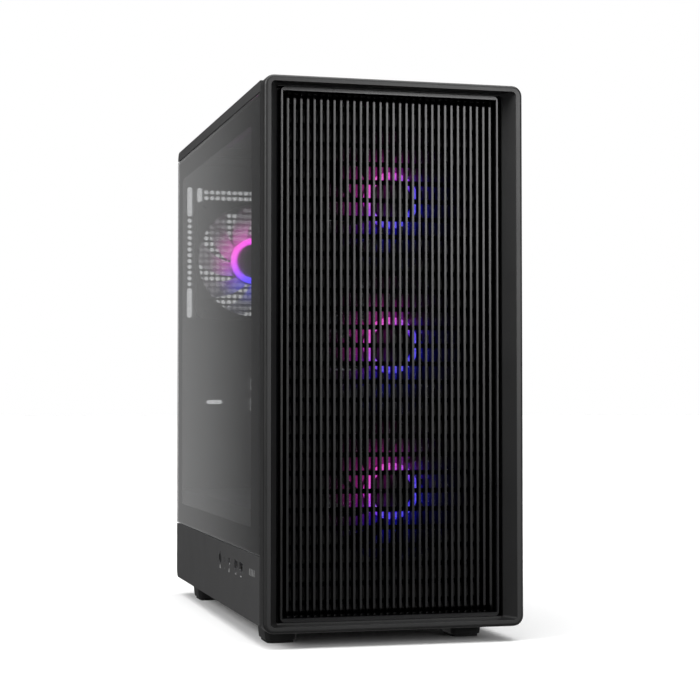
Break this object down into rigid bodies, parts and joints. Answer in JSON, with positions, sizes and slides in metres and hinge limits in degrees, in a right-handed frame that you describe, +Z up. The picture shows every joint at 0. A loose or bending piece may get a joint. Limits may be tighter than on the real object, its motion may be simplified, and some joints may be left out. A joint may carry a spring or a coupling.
{
  "type": "desktop computer tower",
  "caption": "Upright computer case with a vertically finned front, a tinted glass side, lit fans and removable panels, standing on rubber-padded feet.",
  "frame": {"origin": "middle of the footprint, on the surface that the feet stand on", "axes": "+Z up, front towards -Y, glass side towards -X, rear sockets towards +Y"},
  "size_m": [0.216, 0.436, 0.4535],
  "materials": {
    "black_plastic": "fine matte moulded plastic, nearly black",
    "black_steel": "black powder-coated sheet steel, fine texture",
    "tinted_glass": "lightly tinted tempered glass, polished, with a printed black border",
    "foot_rubber": "soft black rubber",
    "fan_frame_plastic": "black moulded plastic",
    "fan_blade_plastic": "milky translucent plastic",
    "light_ring": "lit diffuser, magenta at the top running to blue below",
    "socket_metal": "plated sheet metal",
    "cooling_metal": "satin aluminium plates",
    "circuit_board": "black solder mask",
    "device_shell": "dark grey coated housing"
  },
  "bodies": {
    "chassis": {"audio_jack": "black_plastic", "mains_inlet": "black_plastic", "foot_front_left": "black_plastic", "foot_front_right": "black_plastic", "foot_rear_left": "black_plastic", "foot_rear_right": "black_plastic", "chassis_front_plate": "black_steel", "floor_pan": "black_steel", "roof_plate": "black_steel", "rear_panel": "black_steel", "motherboard_tray": "black_steel", "power_supply_cover": "black_steel", "left_skirt": "black_steel", "top_panel": "black_steel", "slot_covers": "black_steel", "drive_bracket": "black_steel", "foot_pad_front_left": "foot_rubber", "foot_pad_front_right": "foot_rubber", "foot_pad_rear_left": "foot_rubber", "foot_pad_rear_right": "foot_rubber", "front_fan_lower_frame": "fan_frame_plastic", "front_fan_middle_frame": "fan_frame_plastic", "front_fan_upper_frame": "fan_frame_plastic", "rear_fan_frame": "fan_frame_plastic", "processor_fan_frame": "fan_frame_plastic", "usb_socket_front": "socket_metal", "usb_socket_rear": "socket_metal", "processor_heatsink": "cooling_metal", "motherboard": "circuit_board", "memory_module_1": "circuit_board", "memory_module_2": "circuit_board", "front_connector_board": "circuit_board", "graphics_card": "device_shell", "power_supply": "device_shell", "solid_state_drive": "device_shell"},
    "front_cover": {"front_bezel": "black_plastic", "front_grille": "black_plastic", "front_rib_frame": "black_plastic"},
    "glass_door": {"glass_panel": "tinted_glass", "glass_mount_frame": "black_plastic"},
    "right_cover": {"right_panel": "black_steel"},
    "roof_filter": {"top_filter": "black_plastic"},
    "floor_filter": {"bottom_filter": "black_plastic"},
    "power_key": {"power_button": "black_plastic"},
    "reset_key": {"reset_button": "black_plastic"},
    "lower_fan_wheel": {"front_fan_lower_rotor": "fan_blade_plastic", "front_fan_lower_light_ring": "light_ring"},
    "middle_fan_wheel": {"front_fan_middle_rotor": "fan_blade_plastic", "front_fan_middle_light_ring": "light_ring"},
    "upper_fan_wheel": {"front_fan_upper_rotor": "fan_blade_plastic", "front_fan_upper_light_ring": "light_ring"},
    "rear_fan_wheel": {"rear_fan_rotor": "fan_blade_plastic", "rear_fan_light_ring": "light_ring"},
    "processor_fan_wheel": {"processor_fan_rotor": "fan_frame_plastic"},
    "graphics_wheel_front": {"graphics_fan_front": "fan_frame_plastic"},
    "graphics_wheel_rear": {"graphics_fan_rear": "fan_frame_plastic"},
    "supply_fan_wheel": {"power_supply_fan": "fan_frame_plastic"},
    "supply_rocker": {"mains_rocker": "black_plastic"}
  },
  "joints": [
    {"name": "front_cover_pull", "type": "slide", "parent": "chassis", "child": "front_cover", "axis": [0, -1, 0], "range_m": [0, 0.06]},
    {"name": "glass_door_pull", "type": "slide", "parent": "chassis", "child": "glass_door", "axis": [-1, 0, 0], "range_m": [0, 0.05]},
    {"name": "right_cover_pull", "type": "slide", "parent": "chassis", "child": "right_cover", "axis": [1, 0, 0], "range_m": [0, 0.05]},
    {"name": "roof_filter_lift", "type": "slide", "parent": "chassis", "child": "roof_filter", "axis": [0, 0, 1], "range_m": [0, 0.04]},
    {"name": "floor_filter_pull", "type": "slide", "parent": "chassis", "child": "floor_filter", "axis": [0, 1, 0], "range_m": [0, 0.18]},
    {"name": "power_button_press", "type": "slide", "parent": "chassis", "child": "power_key", "axis": [1, 0, 0], "range_m": [0, 0.0012], "stiffness_N_per_m": 500},
    {"name": "reset_button_press", "type": "slide", "parent": "chassis", "child": "reset_key", "axis": [1, 0, 0], "range_m": [0, 0.0008], "stiffness_N_per_m": 400},
    {"name": "lower_fan_spin", "type": "hinge", "parent": "chassis", "child": "lower_fan_wheel", "pos_m": [0.008, -0.1795, 0.1211], "axis": [0, 1, 0], "continuous": true},
    {"name": "middle_fan_spin", "type": "hinge", "parent": "chassis", "child": "middle_fan_wheel", "pos_m": [0.008, -0.1795, 0.2411], "axis": [0, 1, 0], "continuous": true},
    {"name": "upper_fan_spin", "type": "hinge", "parent": "chassis", "child": "upper_fan_wheel", "pos_m": [0.008, -0.1795, 0.3611], "axis": [0, 1, 0], "continuous": true},
    {"name": "rear_fan_spin", "type": "hinge", "parent": "chassis", "child": "rear_fan_wheel", "pos_m": [-0.03, 0.1875, 0.3395], "axis": [0, 1, 0], "continuous": true},
    {"name": "processor_fan_spin", "type": "hinge", "parent": "chassis", "child": "processor_fan_wheel", "pos_m": [0.0143, 0.055, 0.3395], "axis": [0, 1, 0], "continuous": true},
    {"name": "graphics_fan_front_spin", "type": "hinge", "parent": "chassis", "child": "graphics_wheel_front", "pos_m": [0.02, 0.028, 0.1845], "axis": [0, 0, 1], "continuous": true},
    {"name": "graphics_fan_rear_spin", "type": "hinge", "parent": "chassis", "child": "graphics_wheel_rear", "pos_m": [0.02, 0.128, 0.1845], "axis": [0, 0, 1], "continuous": true},
    {"name": "supply_fan_spin", "type": "hinge", "parent": "chassis", "child": "supply_fan_wheel", "pos_m": [-0.006, 0.144, 0.0193], "axis": [0, 0, 1], "continuous": true},
    {"name": "mains_rocker_tip", "type": "hinge", "parent": "chassis", "child": "supply_rocker", "pos_m": [-0.02, 0.212, 0.0725], "axis": [1, 0, 0], "range_deg": [0, 16]}
  ]
}
